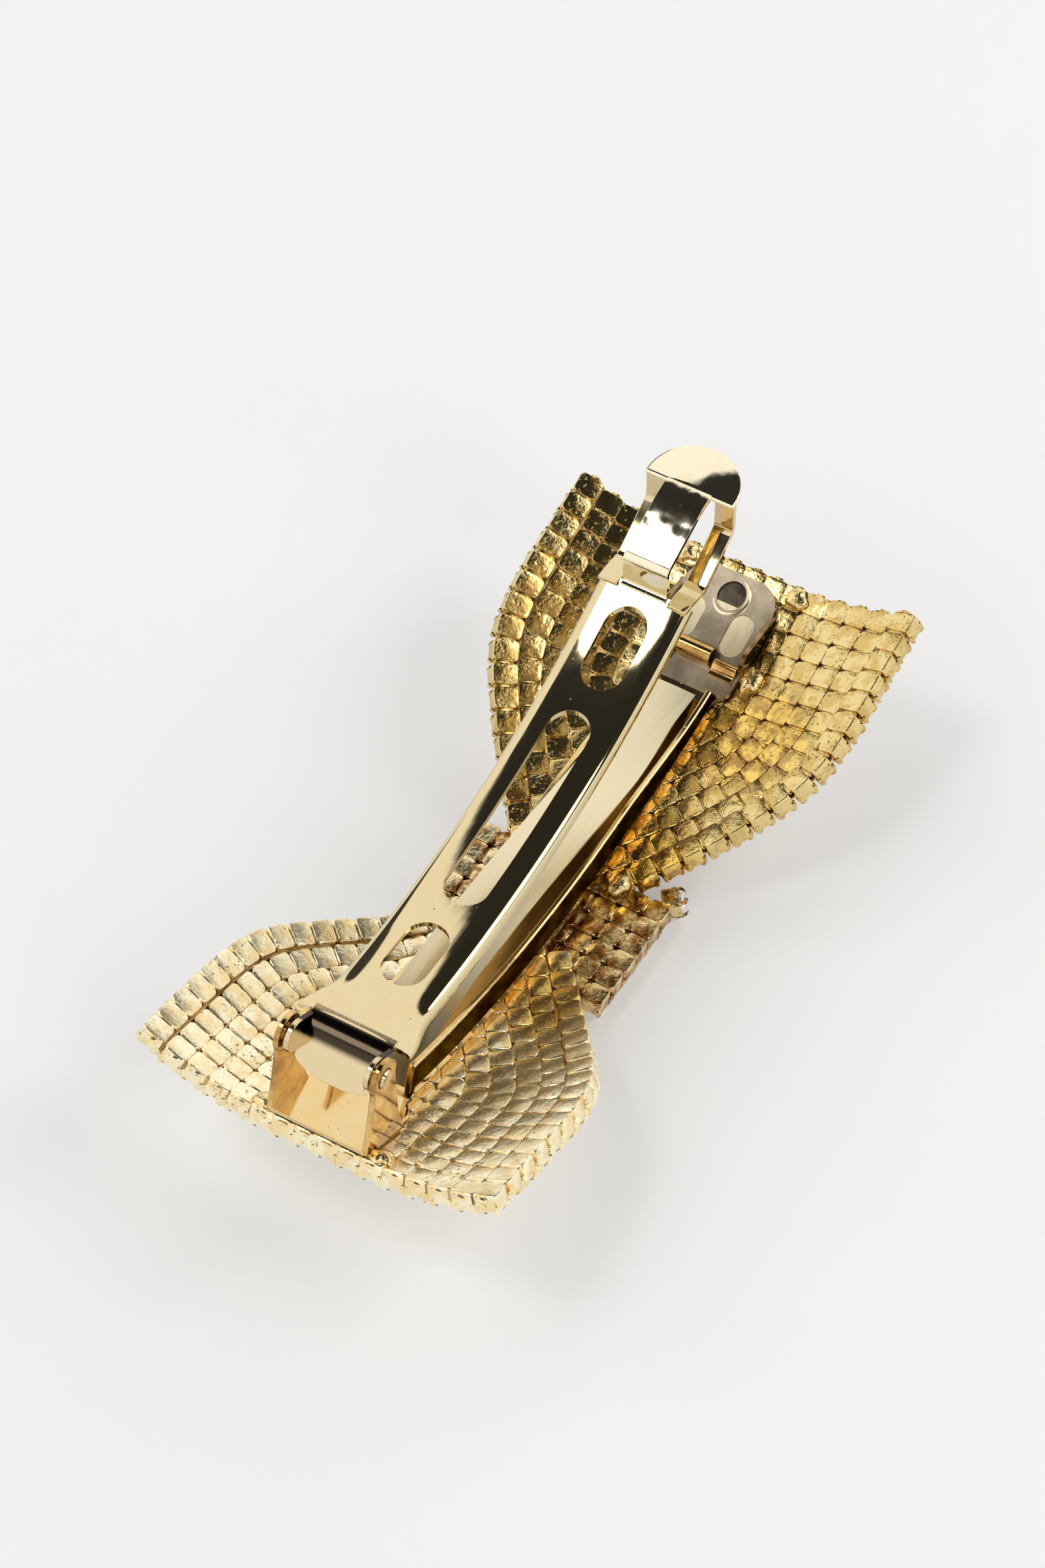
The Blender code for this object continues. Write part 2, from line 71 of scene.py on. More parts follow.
# Cups of the chain
CUP_SIDE, CUP_CORNER = 2.41, 0.42
CUP_FILL, OUTER_FILL, KNOT_FILL = 0.965, 0.92, 0.91     # how much of its place a cup fills
OUTER_LIFT = 0.45           # the outermost strand stands proud of the next
CUP_BACK = [(0.82, 0.00), (0.93, 0.02), (0.98, 0.09), (1.0, 0.25), (1.0, 1.55),
            (0.97, 1.86), (0.88, 1.86), (0.86, 1.1)]    # share of the side, depth
PRONG_BENDS = [(0.0, 1.2, 0.34), (0.0, 1.8, 0.32), (0.10, 2.25, 0.27),
               (0.30, 2.5, 0.22), (0.48, 2.56, 0.14)]   # lean, depth, width
SEAM_SECTION = [(-0.2, 0.0), (0.0, -0.1), (0.2, 0.0), (0.2, 0.9), (-0.2, 0.9)]


# ---------------------------------------------------------------- shape of the bow's back
def smooth(value):
    value = max(0.0, min(1.0, value))
    return value * value * (3 - 2 * value)


def back_z(x):
    return BACK_Z + BEND_RADIUS - math.sqrt(BEND_RADIUS ** 2 - x * x)


def wing_z(x, y, lift=0.0):
    side = max(0.0, abs(y) - FLAT_HALF) / (HALF_WIDTH - FLAT_HALF)
    ease = max(0.0, (abs(x) - EASE_X) / (HALF_LENGTH - EASE_X))
    curl = CURL_RISE * side ** CURL_POWER * (1 - EASE * ease ** 2)
    return back_z(x) + curl + lift * smooth((abs(y) - EAR_HALF - 1) / 3)


def wing_normal(x, y):
    step = 0.05
    along = wing_z(x + step, y) - wing_z(x - step, y)
    across = wing_z(x, y + step) - wing_z(x, y - step)
    return Vector((-along / (2 * step), -across / (2 * step), 1)).normalized()


def wing_up(point, along):
    """Out of the wing's back, square to the strand."""
    normal = wing_normal(point.x, point.y)
    return (normal - along * normal.dot(along)).normalized()


def row_y(row, x):
    """A strand's distance from the middle line: it slopes out from the knot, then runs straight."""
    inset = (row + 0.5) * STRAND_PITCH
    sloping = EDGE_START + EDGE_SLOPE * x - inset * math.hypot(1, EDGE_SLOPE)
    straight = HALF_WIDTH - inset
    turn = EDGE_TURN * (1 - inset / TURN_DEPTH)
    return straight - turn * math.log1p(math.exp(min(60, (straight - sloping) / turn)))


def row_start(row):
    """The first place where a strand's cups stay clear of the middle line."""
    x, step = FIRST_X, 0.05
    while x < HALF_LENGTH:
        slope = (row_y(row, x + step) - row_y(row, x)) / step
        if row_y(row, x) - STRAND_HALF / math.hypot(1, slope) > MIDDLE_CLEAR:
            return x
        x += step
    return x


# ---------------------------------------------------------------- mesh making
class Skin:
    """Collects closed bodies in millimetres and turns them into one piece."""

    def __init__(self):
        self.verts, self.faces, self.marks = [], [], []

    def add(self, verts, faces, mark=0):
        base = len(self.verts)
        self.verts += [tuple(v) for v in verts]
        self.faces += [tuple(base + i for i in face) for face in faces]
        self.marks += [mark] * len(faces)

    def loops(self, rings, mark=0):
        """Skin over rings of equal length, closed at both ends."""
        count = len(rings[0])
        faces = []
        for r in range(len(rings) - 1):
            for i in range(count):
                j = (i + 1) % count
                faces.append((r * count + i, r * count + j,
                              (r + 1) * count + j, (r + 1) * count + i))
        faces.append(tuple(reversed(range(count))))
        faces.append(tuple(range((len(rings) - 1) * count, len(rings) * count)))
        self.add([p for ring in rings for p in ring], faces, mark)

    def mesh(self, name):
        mesh = bpy.data.meshes.new(name)
        mesh.from_pydata([Vector(v) * MM for v in self.verts], [], self.faces)
        mesh.update()
        bm = bmesh.new()
        bm.from_mesh(mesh)
        bmesh.ops.recalc_face_normals(bm, faces=bm.faces[:])
        bm.to_mesh(mesh)
        bm.free()
        mesh.polygons.foreach_set("material_index", self.marks)
        return mesh


def piece(name, mesh, body, finishes, stands_for=(), smooth_angle=32, bevel=0.0):
    """A finished piece: shading, bevel, finishes, and its place in the frame."""
    mesh.shade_smooth()
    mesh.set_sharp_from_angle(angle=math.radians(smooth_angle))
    part = bpy.data.objects.new(name, mesh)
    bpy.context.scene.collection.objects.link(part)
    for finish in finishes:
        mesh.materials.append(finish)
    if bevel:
        rounding = part.modifiers.new("rounding", 'BEVEL')
        rounding.width = bevel * MM
        rounding.segments = 2
        rounding.limit_method = 'ANGLE'
        rounding.angle_limit = math.radians(38)
        rounding.harden_normals = True
    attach(part, body)
    if stands_for:
        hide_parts(*stands_for)


def chain_piece(name, mesh, finishes, stands_for=(), smooth_angle=32):
    piece(name, mesh, "clip_base", finishes, stands_for, smooth_angle)


def base_piece(name, skin, finish, stands_for=(), bevel=0.0):
    piece(name, skin.mesh(name), "clip_base", [finish], stands_for, bevel=bevel)


def on_circle(centre, radius, degrees):
    angle = math.radians(degrees)
    return centre[0] + radius * math.cos(angle), centre[1] + radius * math.sin(angle)


def arc(centre, radius, start, stop, steps):
    return [on_circle(centre, radius, turn) for turn in span(start, stop, steps)]


def obround(start, stop, middle, width, steps=16):
    radius = width / 2
    return (arc((stop - radius, middle), radius, -90, 90, steps)
            + arc((start + radius, middle), radius, 90, 270, steps))


def span(start, stop, steps):
    return [start + (stop - start) * i / steps for i in range(steps + 1)]


def rounded(path, radius, steps=6):
    """A path in two dimensions with its corners turned into bends."""
    points = [Vector(p) for p in path]
    out = [tuple(points[0])]
    for before, corner, after in zip(points, points[1:], points[2:]):
        a, b = before - corner, after - corner
        reach = min(radius, a.length * 0.48, b.length * 0.48)
        first, last = corner + a.normalized() * reach, corner + b.normalized() * reach
        for i in range(steps + 1):
            t = i / steps
            out.append(tuple(first * (1 - t) ** 2 + corner * 2 * t * (1 - t) + last * t ** 2))
    return out + [tuple(points[-1])]


def ribbon(path, thickness):
    """Outline of a bent strip: its path offset half a thickness to each side."""
    points = [Vector(p) for p in path]
    left, right = [], []
    for i, point in enumerate(points):
        before = (point - points[i - 1]).normalized() if i else None
        after = (points[i + 1] - point).normalized() if i < len(points) - 1 else None
        bisector = ((before or after) + (after or before)).normalized()
        normal = Vector((-bisector.y, bisector.x)) * thickness / 2
        normal /= max(0.5, bisector.dot(after or before))
        left.append(tuple(point + normal))
        right.append(tuple(point - normal))
    return left + right[::-1]


def side_prism(skin, outline, low, high):
    skin.loops([[(x, y, z) for x, z in outline] for y in (low, high)])


def flat_prism(skin, outline, low, high):
    skin.loops([[(x, y, z) for x, y in outline] for z in (low, high)])


def carve(mesh, cutter):
    """The mesh with the cutter's bodies cut out of it."""
    work, tool = bpy.data.objects.new("work", mesh), bpy.data.objects.new("tool", cutter)
    bpy.context.scene.collection.objects.link(work)
    bpy.context.scene.collection.objects.link(tool)
    step = work.modifiers.new("cut", 'BOOLEAN')
    step.operation, step.solver, step.object = 'DIFFERENCE', 'EXACT', tool
    graph = bpy.context.evaluated_depsgraph_get()
    result = bpy.data.meshes.new_from_object(work.evaluated_get(graph))
    bpy.data.objects.remove(work)
    bpy.data.objects.remove(tool)
    result.materials.clear()
    return result


# ---------------------------------------------------------------- finishes
class Wire:
    """A shader socket that can be used in arithmetic."""

    def __init__(self, bench, socket):
        self.bench, self.socket = bench, socket

    def maths(self, operation, first, second):
        return self.bench.node("ShaderNodeMath", {"operation": operation}, {0: first, 1: second})

    def __add__(self, other):
        return self.maths('ADD', self, other)

    def __radd__(self, other):
        return self.maths('ADD', other, self)

    def __sub__(self, other):
        return self.maths('SUBTRACT', self, other)

    def __rsub__(self, other):
        return self.maths('SUBTRACT', other, self)

    def __mul__(self, other):
        return self.maths('MULTIPLY', self, other)

    def __rmul__(self, other):
        return self.maths('MULTIPLY', other, self)


class Bench:
    """Lays out shader nodes in one tree."""

    def __init__(self, tree, coordinates):
        self.tree = tree
        self.place = self.node("ShaderNodeTexCoord", {}, {}, coordinates)

    def node(self, kind, settings, sockets, output=0):
        made = self.tree.nodes.new(kind)
        for key, value in settings.items():
            if key == "stops":
                ramp = made.color_ramp
                while len(ramp.elements) < len(value):
                    ramp.elements.new(0.5)
                for element, (position, colour) in zip(ramp.elements, value):
                    element.position, element.color = position, colour
            else:
                setattr(made, key, value)
        for key, value in sockets.items():
            if isinstance(value, Wire):
                self.tree.links.new(value.socket, made.inputs[key])
            else:
                made.inputs[key].default_value = value
        return Wire(self, made.outputs[output])

    def between(self, value, low, high, to_low=0.0, to_high=1.0):
        """Smooth step from to_low to to_high as the value goes from low to high."""
        return self.node("ShaderNodeMapRange", {"interpolation_type": 'SMOOTHSTEP'}, {
            "Value": value, "From Min": low, "From Max": high,
            "To Min": to_low, "To Max": to_high})


class Finish(Bench):
    """One surface finish, built up node by node."""

    def __init__(self, name, **uniform):
        self.material = bpy.data.materials.new(name)
        self.material.use_nodes = True
        super().__init__(self.material.node_tree, "Object")
        self.shader = self.tree.nodes["Principled BSDF"]
        for socket, value in uniform.items():
            self.shader.inputs[socket.replace("_", " ").title()].default_value = value

    def noise(self, scale, detail=3.0, rough=0.55, stretch=None):
        """Cloudy value about 0.5; the scale counts blotches per millimetre."""
        place = self.place
        if stretch:
            place = self.node("ShaderNodeMapping", {}, {"Vector": place, "Scale": stretch})
        return self.node("ShaderNodeTexNoise", {}, {
            "Vector": place, "Scale": scale / MM, "Detail": detail, "Roughness": rough})

    def spots(self, scale):
        """Distance to scattered points, 0 at each point."""
        return self.node("ShaderNodeTexVoronoi", {}, {"Vector": self.place, "Scale": scale / MM})

    def specks(self, scale, low, high):
        """Mask of small dots, 1 at their middles."""
        return self.between(self.spots(scale), low, high, 1.0, 0.0)

    def mixed(self, share, first, second):
        """Colour going from first to second."""
        return self.node("ShaderNodeMix", {"data_type": 'RGBA'}, {0: share, 6: first, 7: second}, 2)

    def set(self, socket, value):
        self.tree.links.new(value.socket, self.shader.inputs[socket])

    def bump(self, height, depth):
        """Relief with the depth given in millimetres."""
        self.set("Normal", self.node("ShaderNodeBump", {}, {
            "Height": height, "Strength": 1.0, "Distance": depth * MM}))


CHAMPAGNE = (0.73, 0.60, 0.35, 1)
CHAMPAGNE_PALE = (0.84, 0.72, 0.47, 1)
CREAM_GOLD = (0.90, 0.82, 0.60, 1)
SOFT_GOLD = (0.70, 0.57, 0.34, 1)
COPPERY = (0.80, 0.52, 0.30, 1)
AMBER = (0.80, 0.52, 0.18, 1)
TARNISH = (0.22, 0.15, 0.09, 1)
# painted shade: near-black colour for the band at the tongue's bend
PAINTED_BEND_SHADE = (0.03, 0.02, 0.014, 1)
# painted light and shade: amber glow and brown shade laid on the cup backs in patches
PAINTED_GLOW_AMBER, PAINTED_SHADE_BROWN = (0.90, 0.60, 0.12, 1), (0.34, 0.17, 0.045, 1)
PAINTED_GLOW_PATCHES = [((26.0, -10.5, 8.5), 9.0), ((9.0, -7.0, 5.5), 7.0), ((-11.0, -7.0, 5.5), 8.0),
               ((-25.0, 8.5, 9.0), 5.5)]   # middle and reach of each patch of painted amber glow and brown shade


def lever_gold(name, gold, satin, ripple, bend_x=None):
    """Mirror-polished plate with faint drawing lines, a few pits and coppery thin spots.
    Where the sheet bends, just before bend_x, a near-black band of painted shade is mixed into the
    colour."""
    finish = Finish(name, metallic=1.0)
    thin = finish.between(finish.noise(0.22), 0.52, 0.72)
    pits = finish.specks(0.9, 0.045, 0.085)
    few = finish.between(finish.noise(0.35, 2.0), 0.50, 0.60)
    lines = finish.noise(1.6, 2.0, 0.5, stretch=(0.05, 1.0, 0.6))
    pits = pits * few
    gold = finish.mixed(thin * 0.35, gold, COPPERY)
    # painted shade: a near-black band across the sheet just before the bend
    if bend_x is not None:
        width, fade_in, fade_out = 2.9, 0.6, 0.5
        x = finish.node("ShaderNodeSeparateXYZ", {}, {0: finish.place})
        painted_bend_band = finish.between(x, (bend_x - width) * MM, (bend_x - width + fade_in) * MM)
        painted_bend_band = painted_bend_band * finish.between(x, (bend_x - fade_out) * MM, bend_x * MM, 1.0, 0.0)
        gold = finish.mixed(painted_bend_band * 0.96, gold, PAINTED_BEND_SHADE)
    finish.set("Base Color", finish.mixed(pits, gold, TARNISH))
    finish.set("Roughness", satin + lines * 0.05 + pits * 0.3)
    finish.bump(lines * 0.25 + finish.noise(0.22, 2.0) * ripple - pits * 0.6, 0.012)
    return finish.material


def plate_gold():
    """The base's plating: bright, a little cloudier, with scattered grit."""
    finish = Finish("base_plate_gold", metallic=1.0)
    grit = finish.specks(1.5, 0.10, 0.16)
    some = finish.between(finish.noise(0.4, 2.0), 0.52, 0.62)
    cloud = finish.noise(0.35, 4.0)
    grit = grit * some
    clouded = finish.mixed(cloud, CHAMPAGNE, AMBER)
    finish.set("Base Color", finish.mixed(grit * 0.8, clouded, CHAMPAGNE_PALE))
    finish.set("Roughness", 0.05 + cloud * 0.09 + grit * 0.25)
    finish.bump(cloud * 1.2 + grit, 0.014)
    return finish.material


def dull_gold(name, light, dark, roughness, edge=(1, 1, 1, 1)):
    """Clouded plating, going from light to dark; edge tints what it mirrors at a slant. The dark tones
    are the solder seams' own colour, and painted reflection and shade where the base's sheet uses it.
    """
    finish = Finish(name, metallic=1.0, specular_tint=edge)
    cloud = finish.noise(0.3, 4.0, 0.6)
    specks = finish.specks(1.7, 0.06, 0.11)
    specks = specks * finish.between(finish.noise(0.5, 2.0), 0.5, 0.6)
    tone = finish.mixed(finish.between(cloud, 0.35, 0.65), dark, light)
    finish.set("Base Color", finish.mixed(specks, tone, CHAMPAGNE_PALE))
    finish.set("Roughness", roughness + cloud * 0.12)
    finish.bump(cloud + specks, 0.012)
    return finish.material


def spring_gold():
    """Satin spring leaf, brushed along its length."""
    finish = Finish("brushed_spring_gold", metallic=1.0)
    lines = finish.noise(2.6, 3.0, 0.6, stretch=(0.04, 1.0, 0.5))
    finish.set("Base Color", finish.mixed(lines, (0.80, 0.68, 0.43, 1), (0.88, 0.78, 0.54, 1)))
    finish.set("Roughness", 0.22 + lines * 0.16)
    finish.bump(lines, 0.010)
    return finish.material


def cup_gold(name, satin, relief, pitting, bright, deep, plated=1.0):
    """Plated cup backs: dented, pitted and tarnished, with patches of painted amber glow and painted
    brown shade.
    """
    finish = Finish(name, metallic=plated)
    dents = finish.noise(0.55, 3.0, 0.6)
    grain = finish.noise(2.4, 4.0, 0.65)
    pits = finish.between(grain, 0.60, 0.70) * finish.between(finish.noise(0.3, 2.0), 0.46, 0.60)
    flecks = finish.between(finish.noise(1.3, 3.0, 0.7), 0.62, 0.70)
    pits = pits * pitting
    gold = finish.mixed(finish.between(dents, 0.43, 0.60), bright, deep)
    gold = finish.mixed(flecks * 0.5, gold, AMBER)
    # painted light and shade: amber glow going to brown shade, mixed in round each patch's middle
    painted_glow_tone = finish.mixed(finish.between(dents, 0.40, 0.62), PAINTED_GLOW_AMBER, PAINTED_SHADE_BROWN)
    for centre, reach in PAINTED_GLOW_PATCHES:
        far = finish.node("ShaderNodeVectorMath", {"operation": 'DISTANCE'}, {
            0: finish.place, 1: tuple(v * MM for v in centre)}, "Value")
        ragged = far + (dents - 0.5) * reach * MM
        near = finish.between(ragged, reach * 0.35 * MM, reach * MM, 1.0, 0.0)
        gold = finish.mixed(near * 0.8, gold, painted_glow_tone)
    finish.set("Base Color", finish.mixed(pits, gold, TARNISH))
    finish.set("Roughness", satin + dents * 0.16 + pits * 0.3)
    finish.bump(dents * 2.2 + grain * 0.5 - pits * 1.4 + flecks * 0.5, relief)
    return finish.material


def solder_metal():
    """Bright solder, crinkled as it froze."""
    finish = Finish("bright_solder", metallic=1.0)
    crinkle = finish.noise(1.8, 3.0, 0.6)
    finish.set("Base Color", finish.mixed(crinkle, (0.90, 0.76, 0.44, 1), (0.82, 0.56, 0.20, 1)))
    finish.set("Roughness", 0.10 + crinkle * 0.2)
    finish.bump(crinkle, 0.12)
    return finish.material


def stone_glass():
    """Foil-backed cut stone: each facet throws back its own light."""
    finish = Finish("cut_stone", metallic=0.85, coat_weight=1.0, coat_roughness=0.02)
    fire = finish.noise(1.1, 1.0)
    tint = finish.node("ShaderNodeValToRGB", {"stops": [
        (0.0, (0.78, 0.86, 1.0, 1)), (0.45, (0.96, 0.97, 1.0, 1)),
        (0.62, (1.0, 0.97, 0.93, 1)), (1.0, (1.0, 0.86, 0.90, 1))]}, {0: fire})
    finish.set("Base Color", tint)
    finish.set("Roughness", 0.02 + fire * 0.05)
    finish.bump(finish.noise(3.0, 2.0), 0.004)
    return finish.material


LEVER_GOLD = lever_gold("polished_lever_gold", CHAMPAGNE, satin=0.03, ripple=1.0)
# painted light: a paler cream copy of the lever's gold, for the white light on the head's bridge and tab
HEAD_GOLD_PAINTED_LIGHT = lever_gold("pale_head_gold_painted_light", CREAM_GOLD, satin=0.02, ripple=5.0)
TONGUE_GOLD_WITH_PAINTED_BEND = lever_gold("soft_tongue_gold_painted_bend_shade", SOFT_GOLD, satin=0.10, ripple=0.5, bend_x=HINGE_X + 3.6)
PLATE_GOLD, SPRING_GOLD = plate_gold(), spring_gold()
# painted reflection: a dull brown-grey copy of the base's gold, for the brown reflection in the polished
# catch plate
CATCH_PLATE_GOLD_PAINTED_REFLECTION = dull_gold("clouded_catch_gold_painted_reflection", roughness=0.26,
                       light=(0.52, 0.44, 0.32, 1), dark=(0.34, 0.27, 0.19, 1))
# painted dark reflection and shade: near-black plating with a dulled edge tint, for the flanges'
# outsides and the hollow under the hole
PAINTED_DARK_GOLD = dull_gold("painted_dark_reflection_plating", roughness=0.16, edge=(0.45, 0.38, 0.28, 1),
                        light=(0.10, 0.08, 0.055, 1), dark=(0.035, 0.028, 0.020, 1))
SEAM_GOLD = dull_gold("brown_solder_seams", roughness=0.16,
                      light=(0.66, 0.45, 0.20, 1), dark=(0.24, 0.14, 0.06, 1))
# painted reflection: brown copy of the base's gold for the dark reflections in the catch ears
CATCH_EAR_GOLD_PAINTED_REFLECTION = dull_gold("brown_catch_ear_painted_reflection", roughness=0.08,
                       light=(0.42, 0.28, 0.13, 1), dark=(0.16, 0.10, 0.05, 1))
# painted reflection: amber and dark-brown copy of the base's gold for the reflections in the hinge ears
# and the curled lobe
EAR_GOLD_PAINTED_REFLECTION = dull_gold("amber_ear_painted_reflection", roughness=0.05,
                     light=(0.78, 0.52, 0.20, 1), dark=(0.40, 0.22, 0.07, 1))
# painted light and shade: the hinge wing's cups get a paler copy of the chain gold and the catch wing's
# a deeper one, for how light falls on each wing
CUP_GOLD_PAINTED_PER_END = {
    "hinge": cup_gold("satin_chain_gold_painted_light", satin=0.13, relief=0.026, pitting=1.4, plated=0.92,
                      bright=(1.0, 0.90, 0.62, 1), deep=(0.95, 0.76, 0.43, 1)),
    "catch": cup_gold("glossy_chain_gold_painted_shade", satin=0.06, relief=0.050, pitting=0.8,
                      bright=(0.80, 0.62, 0.28, 1), deep=(0.66, 0.46, 0.16, 1))}
KNOT_GOLD = cup_gold("knot_chain_gold", satin=0.10, relief=0.050, pitting=1.0,
                     bright=(0.86, 0.70, 0.40, 1), deep=(0.40, 0.19, 0.06, 1))
SOLDER, STONE = solder_metal(), stone_glass()


# ---------------------------------------------------------------- cup chain
def cup_ring(side, corner, depth):
    """Square ring with three points round each corner."""
    half, clipped = side / 2, corner * 0.3
    ring = []
    for sx, sy in CORNERS:
        arms = [(half, half - corner), (half - clipped, half - clipped), (half - corner, half)]
        if sx * sy < 0:
            arms.reverse()
        ring += [(sx * a, sy * b, depth) for a, b in arms]
    return ring


def cup_shell():
    """Rings of a cup from its back to the inside of its mouth; depth runs toward the stone."""
    return [cup_ring(CUP_SIDE * share, CUP_CORNER * share, -depth) for share, depth in CUP_BACK]


def prong(cx, cy):
    """A corner prong, folded in over the stone's edge."""
    inset, fold_depth, root, tip = 0.17, 2.3, 0.16, 0.10
    rings = []
    for lean, depth, wide in PRONG_BENDS:
        reach = CUP_SIDE / 2 - inset - lean
        x, y = cx * reach, cy * reach
        thick = root if depth < fold_depth else tip
        rings.append([(x + cy * across * wide + cx * out, y - cx * across * wide + cy * out, -depth)
                      for across, out in ((-0.5, thick / 2), (-0.5, -thick),
                                          (0.5, -thick), (0.5, thick / 2))])
    return rings


def stone_rings():
    """Cushion-cut stone: girdle, two tiers of facets and a flat table."""
    half_turn = 22.5
    tiers = ((0.98, half_turn, 1.3), (1.14, half_turn, 1.72), (0.93, 0.0, 2.02), (0.60, half_turn, 2.26))
    return [[(*on_circle((0, 0), radius, 45 * i + turn), -depth) for i in range(8)]
            for radius, turn, depth in tiers]


SHELL, STONES = cup_shell(), stone_rings()
PRONGS = [prong(cx, cy) for cx, cy in CORNERS]


def set_cup(metal, stones, middle, along, up, length, wide=1.0, fill=CUP_FILL):
    """Puts one cup at its place, stretched to fill its length of the strand, and slightly askew."""
    rock, sink, rise = 0.035, 0.04, 0.05
    across = up.cross(along).normalized()
    up = (up + along * dice.uniform(-rock, rock) + across * dice.uniform(-rock, rock)).normalized()
    along = across.cross(up).normalized()
    middle = middle + up * dice.uniform(-sink, rise)
    stretch = fill * length / CUP_SIDE

    def at(point):
        return middle + along * point[0] * stretch + across * point[1] * wide + up * point[2]
    for rings in [SHELL] + PRONGS:
        metal.loops([[at(p) for p in ring] for ring in rings])
    stones.loops([[at(p) for p in ring] for ring in STONES])


def knuckle(metal, middle, along, up, size, reach):
    """Rounded link between two cups: a barrel across the strand that narrows at its ends."""
    across = up.cross(along).normalized()
    rings = []
    for i in range(7):
        t = math.pi * (i + 0.35) / 6.7
        centre, radius = middle - across * reach * math.cos(t), size * math.sin(t) ** 0.7
        rings.append([centre + (along * math.cos(a) + up * math.sin(a)) * radius
                      for a in (math.tau * k / 8 for k in range(8))])
    metal.loops(rings)


def links(metal, joint, along, up, upper, upper_depth, reach, lower_reach):
    """The two links that join neighbouring cups, one above the other."""
    lower, lower_depth = 0.22, 1.15
    knuckle(metal, joint - up * upper_depth, along, up, upper, CUP_SIDE * reach)
    knuckle(metal, joint - up * lower_depth, along, up, lower, CUP_SIDE * lower_reach)


def strand_point(end, side, row, x):
    y = row_y(row, x)
    return Vector((end * x, side * y, wing_z(x, y, OUTER_LIFT if row == 0 else 0.0)))


def seam_ring(point, along, place, row, turn):
    """Section, some way along a strand, of the solder between it and the next strand in."""
    outer_depth, inner_depth, waver = 0.45, 0.20, 0.07
    up = wing_up(point, along)
    inward = up.cross(along) * -turn
    depth = (outer_depth if row == 0 else inner_depth) + waver * math.sin(place * 2.1 + row)
    middle = point + inward * STRAND_PITCH / 2 / up.z - up * depth
    return [middle + inward * a - up * b for a, b in SEAM_SECTION]


def wing_strand(end, end_name, side, side_name, row):
    """A wing's strand with all its cups, links and stones, and its seam to the next strand."""
    outer = row == 0
    fine = [strand_point(end, side, row, x) for x in span(row_start(row), HALF_LENGTH, 240)]
    run = [0.0]
    for a, b in zip(fine, fine[1:]):
        run.append(run[-1] + (b - a).length)
    cups = max(2, round(run[-1] / CUP_PITCH))
    length = run[-1] / cups

    def at(distance):
        distance = max(0.0, min(run[-1] - 1e-6, distance))
        i = next(k for k in range(len(run) - 1) if run[k + 1] > distance)
        share = (distance - run[i]) / (run[i + 1] - run[i])
        return fine[i].lerp(fine[i + 1], share), (fine[i + 1] - fine[i]).normalized()
    metal, stones = Skin(), Skin()
    for cup in range(cups):
        middle, along = at((cup + 0.5) * length)
        up = wing_up(middle, along)
        set_cup(metal, stones, middle, along, up, length, 1 / up.z, OUTER_FILL if outer else CUP_FILL)
        if cup:
            joint, along = at(cup * length)
            links(metal, joint, along, up, upper=0.28, upper_depth=0.34,
                  reach=0.45 if outer else 0.47, lower_reach=0.40)
    last, along = at(run[-1])
    for depth in (0.55, 1.35):
        knuckle(metal, last + along * 0.08 - UP * depth, along, UP, 0.34, CUP_SIDE * 0.27)
    if row < ROWS - 1:
        metal.loops([seam_ring(*at(place), place, row, side * end)
                     for place in span(0.3, run[-1] - 0.3, 40)], 1)
    name = f"{end_name}_{side_name}_{row + 1}"
    chain_piece("cups_" + name, metal.mesh(name), [CUP_GOLD_PAINTED_PER_END[end_name], SEAM_GOLD], ["strand_" + name])
    chain_piece("stones_" + name, stones.mesh(name), [STONE], smooth_angle=5)


def knot_strand(index):
    """A short strand across the bow's middle."""
    from_middle = index - (KNOT_STRANDS - 1) / 2
    bulge = 0.3 * (1 - abs(from_middle) / KNOT_STRANDS)
    reach = KNOT_HALF_SPAN - 0.3 + bulge
    cups = round(2 * reach / CUP_PITCH)
    length = 2 * reach / cups
    along = Vector((0, 1, 0))
    metal, stones = Skin(), Skin()
    for cup in range(cups):
        middle = Vector((from_middle * STRAND_PITCH, -reach + (cup + 0.5) * length, KNOT_BACK))
        set_cup(metal, stones, middle, along, UP, length, fill=KNOT_FILL)
        if cup:
            links(metal, middle - along * length / 2, along, UP, upper=0.30, upper_depth=0.38,
                  reach=0.44, lower_reach=0.42)
    name = f"knot_strand_{index + 1}"
    chain_piece("cups_" + name, metal.mesh(name), [KNOT_GOLD], [name])
    chain_piece("stones_" + name, stones.mesh(name), [STONE], smooth_angle=5)


def corner_cup():
    """The single cup beside the knot whose stone looks out sideways."""
    low, high = [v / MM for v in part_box("corner_cup")]
    out = Vector((0.55, -0.80, 0.18)).normalized()
    along = out.cross(UP).normalized()
    metal, stones = Skin(), Skin()
    set_cup(metal, stones, (low + high) / 2 - out, along, -out, CUP_PITCH)
    chain_piece("corner_cup_shell", metal.mesh("corner_cup"), [KNOT_GOLD], ["corner_cup"])
    chain_piece("corner_cup_stone", stones.mesh("corner_stone"), [STONE], smooth_angle=5)


# ---------------------------------------------------------------- barrette
def floor_z(x):
    return back_z(x) + 0.3


PIN_RISE, PIN_RADIUS = 9.3, 1.0
PIVOT = (HINGE_X, floor_z(HINGE_X) + SHEET + PIN_RISE)
EYE_RADIUS, EAR_RADIUS = 1.06, 2.05
FOOT_RUN, FOOT_HALF, NECK_HALF, NECK_RUN = 6.8, 5.3, 3.9, 2.2
LAP = 0.012                 # the end plates lie this much under the channel's floor
CHANNEL_START, CHANNEL_STOP, CHANNEL_HALF = -32.0, 28.0, 4.2
FLANGE_RISE, FLANGE_FALL = 5.2, 2.4
CATCH_X = HALF_LENGTH - 11.0
HOLE, HOLE_RADIUS = (HALF_LENGTH - 3.9, -0.3), 1.5
WINDOW_START, WINDOW_STOP, WINDOW_Y, WINDOW_WIDTH = CATCH_X + 1.3, CATCH_X + 5.9, 2.85, 2.6
